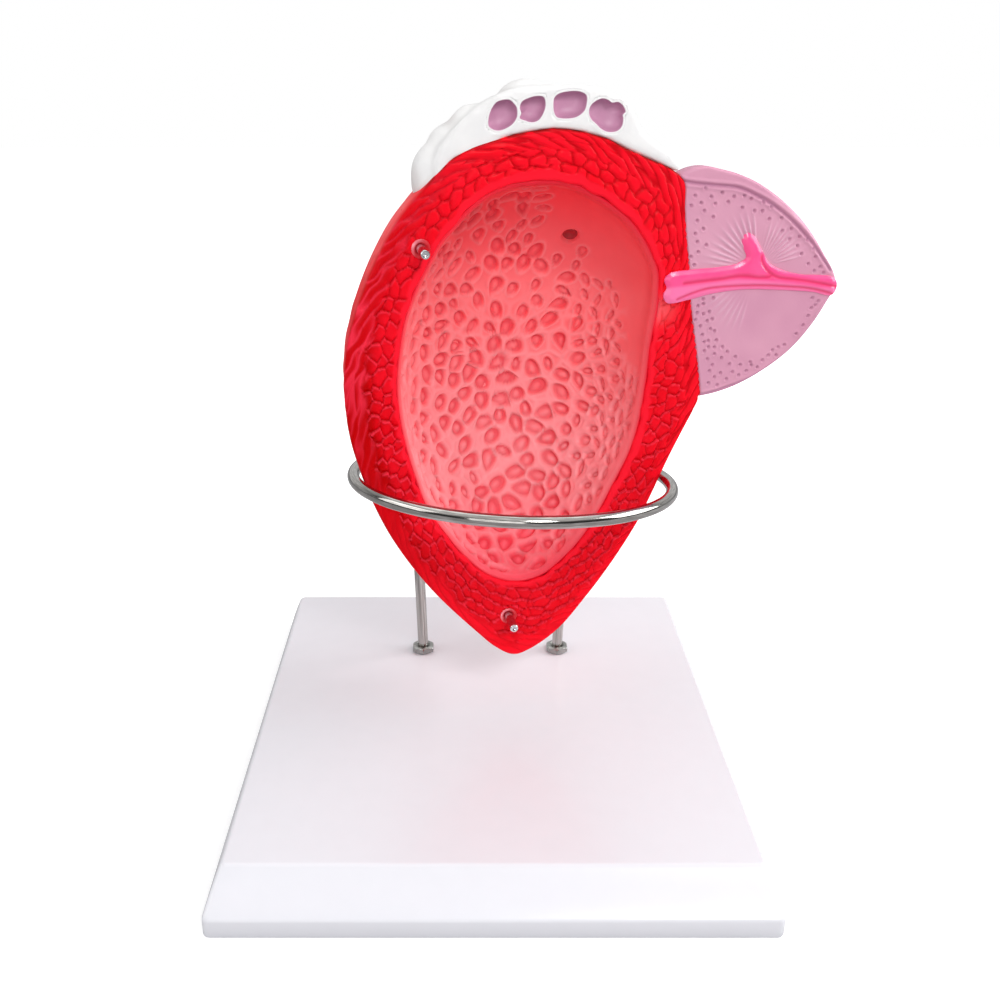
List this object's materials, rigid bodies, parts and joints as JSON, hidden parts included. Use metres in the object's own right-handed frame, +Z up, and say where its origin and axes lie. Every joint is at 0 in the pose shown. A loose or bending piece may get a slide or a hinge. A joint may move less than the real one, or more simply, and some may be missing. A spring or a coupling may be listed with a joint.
{
  "type": "bladder anatomy model",
  "caption": "Half of a cut-open bladder model with prostate and seminal vesicle, resting in a chromed wire ring on a white base; the half organ lifts straight up out of the ring.",
  "frame": {"origin": "on the ground, below the middle of the whole model's bounding box", "axes": "+Z up, -Y towards the viewer of the cut face, +X to the viewer's right, where the prostate points"},
  "size_m": [0.2442, 0.2388, 0.2874],
  "materials": {
    "base_white": "glossy moulded white ABS",
    "rod_chrome": "bright chromed wire",
    "nut_steel": "zinc plated, machined",
    "muscle_red": "hand painted, satin red",
    "lining_pink": "painted, satin salmon pink",
    "orifice_red": "painted dark red",
    "prostate_mauve": "painted, satin mauve",
    "urethra_pink": "painted, glossy rose pink",
    "vesicle_white": "painted, satin white",
    "lumen_mauve": "painted mauve",
    "pin_steel": "ground steel dowel",
    "sleeve_pink": "moulded pale pink"
  },
  "bodies": {
    "stand": {"base_shell": "base_white", "support_ring": "rod_chrome", "upper_nut_left": "nut_steel", "upper_nut_right": "nut_steel", "washer_left": "nut_steel", "washer_right": "nut_steel", "lower_nut_left": "nut_steel", "lower_nut_right": "nut_steel"},
    "bladder_half": {"muscle_wall": "muscle_red", "mucosa_lining": "lining_pink", "ureter_orifice": "orifice_red", "prostate": "prostate_mauve", "urethra_strip": "urethra_pink", "seminal_vesicle": "vesicle_white", "vesicle_lumen_1": "lumen_mauve", "vesicle_lumen_2": "lumen_mauve", "vesicle_lumen_3": "lumen_mauve", "vesicle_lumen_4": "lumen_mauve", "locating_pin_upper": "pin_steel", "locating_pin_lower": "pin_steel", "pin_sleeve_upper": "sleeve_pink", "pin_sleeve_lower": "sleeve_pink"}
  },
  "joints": [
    {"name": "bladder_lift", "type": "slide", "parent": "stand", "child": "bladder_half", "axis": [0, 0, 1], "range_m": [0, 0.12]}
  ]
}
